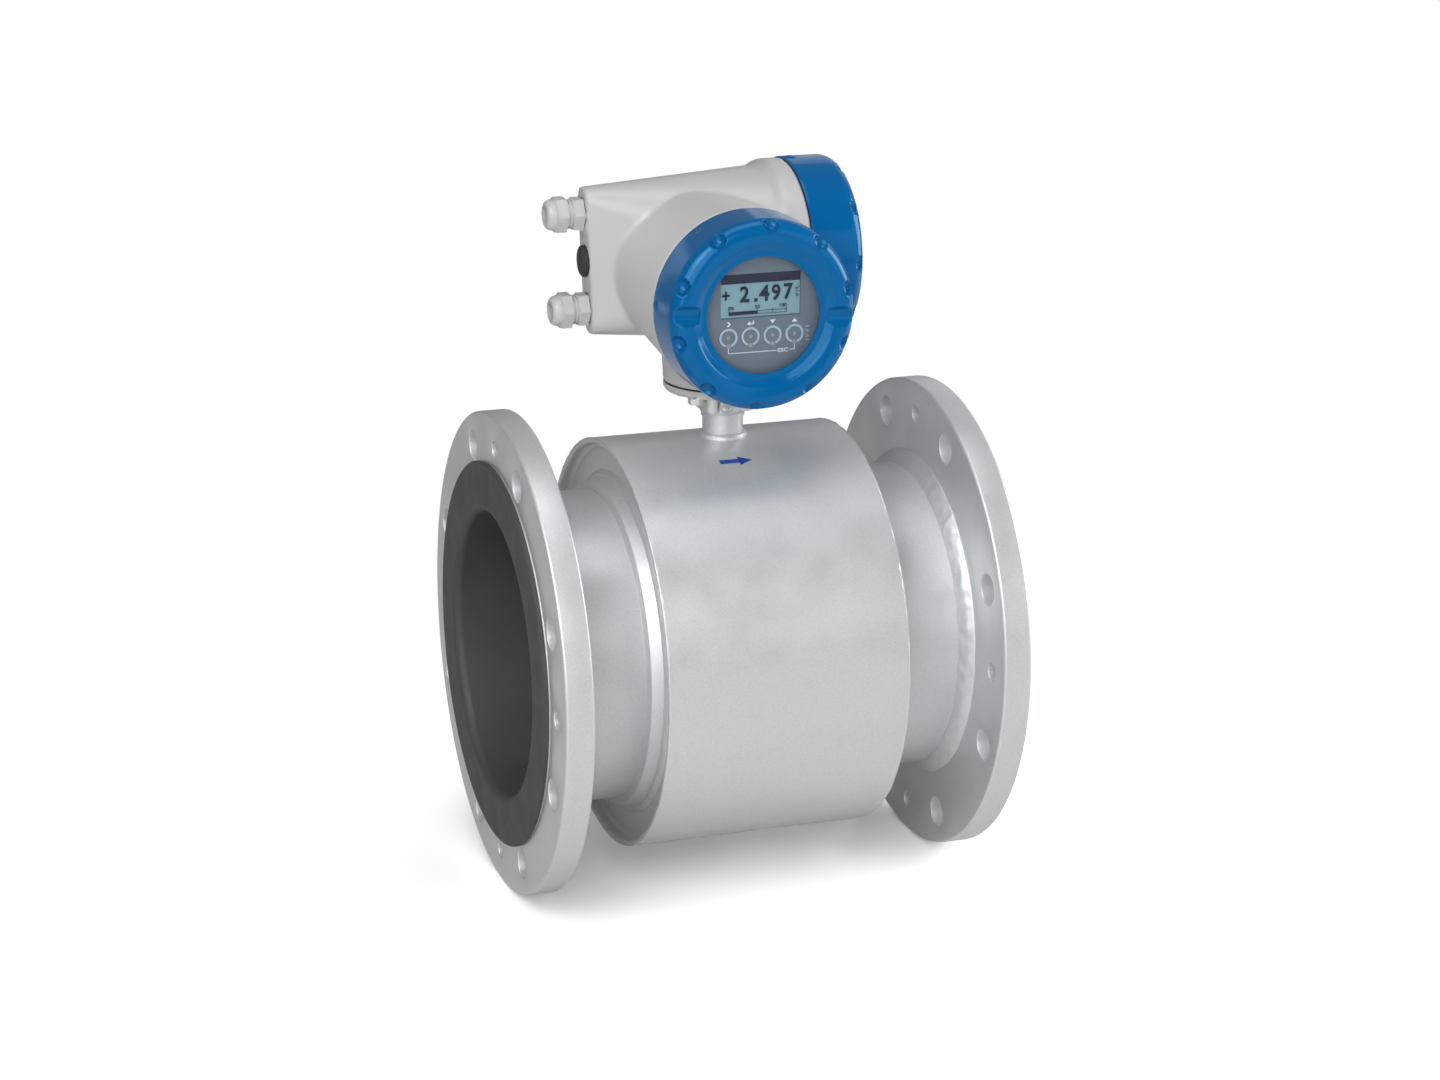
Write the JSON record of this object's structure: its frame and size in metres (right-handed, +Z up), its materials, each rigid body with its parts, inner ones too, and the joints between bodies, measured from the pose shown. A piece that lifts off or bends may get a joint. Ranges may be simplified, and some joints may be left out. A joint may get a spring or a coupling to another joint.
{
  "type": "electromagnetic flow meter",
  "caption": "Flanged electromagnetic flow meter with a rubber lined tube, welded coil casing and a signal converter with round screw covers and a display on a short neck.",
  "frame": {"origin": "on the axis of the flow bore, half way between the two sealing faces", "axes": "+X along the flow, +Z up towards the converter, the display looks along -Y"},
  "size_m": [0.3414, 0.34, 0.5062],
  "materials": {
    "cover_paint": "gloss blue paint",
    "housing_paint": "semi-gloss light grey paint",
    "sensor_paint": "silver grey metallic paint",
    "liner_rubber": "matte black hard rubber",
    "seal_rubber": "matte black",
    "window_glass": "clear",
    "panel_grey": "matte blue grey",
    "display_panel": "pale blue green",
    "key_lens": "satin",
    "circuit_board": "green solder resist",
    "black_plastic": "matte black",
    "resin": "cast resin",
    "gland_plastic": "light grey polyamide",
    "copper_winding": "enamelled copper",
    "magnetic_steel": "bare steel",
    "stainless": "bare stainless"
  },
  "bodies": {
    "meter": {"base_plate": "housing_paint", "base_screws": "stainless", "base_seal": "seal_rubber", "blanking_plug": "black_plastic", "casing_shell": "sensor_paint", "converter_housing": "housing_paint", "display_board": "circuit_board", "display_module": "display_panel", "electrode_bushes": "black_plastic", "electrode_nuts": "stainless", "electronics_tray": "black_plastic", "entry_washers": "seal_rubber", "face_plate": "panel_grey", "ground_screw": "stainless", "ground_washer": "stainless", "inlet_casing_weld": "sensor_paint", "inlet_collar": "sensor_paint", "inlet_end_plate": "sensor_paint", "inlet_flange": "sensor_paint", "inlet_flange_weld": "sensor_paint", "liner": "liner_rubber", "lower_field_coil": "copper_winding", "lower_gland_body": "gland_plastic", "lower_pole_core": "magnetic_steel", "lower_pole_shoe": "magnetic_steel", "measuring_electrodes": "stainless", "measuring_tube": "sensor_paint", "neck": "sensor_paint", "neck_potting": "resin", "neck_screws": "stainless", "optical_keys": "key_lens", "outlet_casing_weld": "sensor_paint", "outlet_collar": "sensor_paint", "outlet_end_plate": "sensor_paint", "outlet_flange": "sensor_paint", "outlet_flange_weld": "sensor_paint", "power_board": "circuit_board", "return_yoke": "magnetic_steel", "terminal_carrier": "black_plastic", "terminal_screws": "stainless", "terminal_strips": "black_plastic", "tray_screws": "stainless", "upper_field_coil": "copper_winding", "upper_gland_body": "gland_plastic", "upper_pole_core": "magnetic_steel", "upper_pole_shoe": "magnetic_steel"},
    "display_cover_travel": {"display_cover_seal": "seal_rubber"},
    "display_cover_turn": {"display_cover": "cover_paint", "display_window": "window_glass", "window_retainer": "stainless", "display_cover_lock_screw": "stainless"},
    "terminal_cover_travel": {"terminal_cover_seal": "seal_rubber"},
    "terminal_cover_turn": {"terminal_cover": "cover_paint", "terminal_cover_lock_screw": "stainless"},
    "upper_nut_travel": {"upper_gland_grommet": "seal_rubber"},
    "upper_nut_turn": {"upper_gland_nut": "gland_plastic"},
    "lower_nut_travel": {"lower_gland_grommet": "seal_rubber"},
    "lower_nut_turn": {"lower_gland_nut": "gland_plastic"}
  },
  "joints": [
    {"name": "display_cover_slide", "type": "slide", "parent": "meter", "child": "display_cover_travel", "axis": [0, -1, 0], "range_m": [0, 0.01202]},
    {"name": "display_cover_screw", "type": "hinge", "parent": "display_cover_travel", "child": "display_cover_turn", "pos_m": [0, -0.0477, 0.2485], "axis": [0, -1, 0], "range_deg": [0, 2160]},
    {"name": "terminal_cover_slide", "type": "slide", "parent": "meter", "child": "terminal_cover_travel", "axis": [1, 0, 0], "range_m": [0, 0.01202]},
    {"name": "terminal_cover_screw", "type": "hinge", "parent": "terminal_cover_travel", "child": "terminal_cover_turn", "pos_m": [0.0506, 0.02, 0.2698], "axis": [1, 0, 0], "range_deg": [0, 2160]},
    {"name": "upper_gland_nut_slide", "type": "slide", "parent": "meter", "child": "upper_nut_travel", "axis": [-1, 0, 0], "range_m": [0, 0.00752]},
    {"name": "upper_gland_nut_screw", "type": "hinge", "parent": "upper_nut_travel", "child": "upper_nut_turn", "pos_m": [-0.10425, 0.02, 0.3045], "axis": [-1, 0, 0], "range_deg": [0, 1800]},
    {"name": "lower_gland_nut_slide", "type": "slide", "parent": "meter", "child": "lower_nut_travel", "axis": [-1, 0, 0], "range_m": [0, 0.00752]},
    {"name": "lower_gland_nut_screw", "type": "hinge", "parent": "lower_nut_travel", "child": "lower_nut_turn", "pos_m": [-0.10115, 0.02, 0.2373], "axis": [-1, 0, 0], "range_deg": [0, 1800]}
  ],
  "couplings": [
    {"joint": "display_cover_slide", "follows": "display_cover_screw", "m_per_rad": 0.00031831},
    {"joint": "terminal_cover_slide", "follows": "terminal_cover_screw", "m_per_rad": 0.00031831},
    {"joint": "upper_gland_nut_slide", "follows": "upper_gland_nut_screw", "m_per_rad": 0.00023873},
    {"joint": "lower_gland_nut_slide", "follows": "lower_gland_nut_screw", "m_per_rad": 0.00023873}
  ]
}
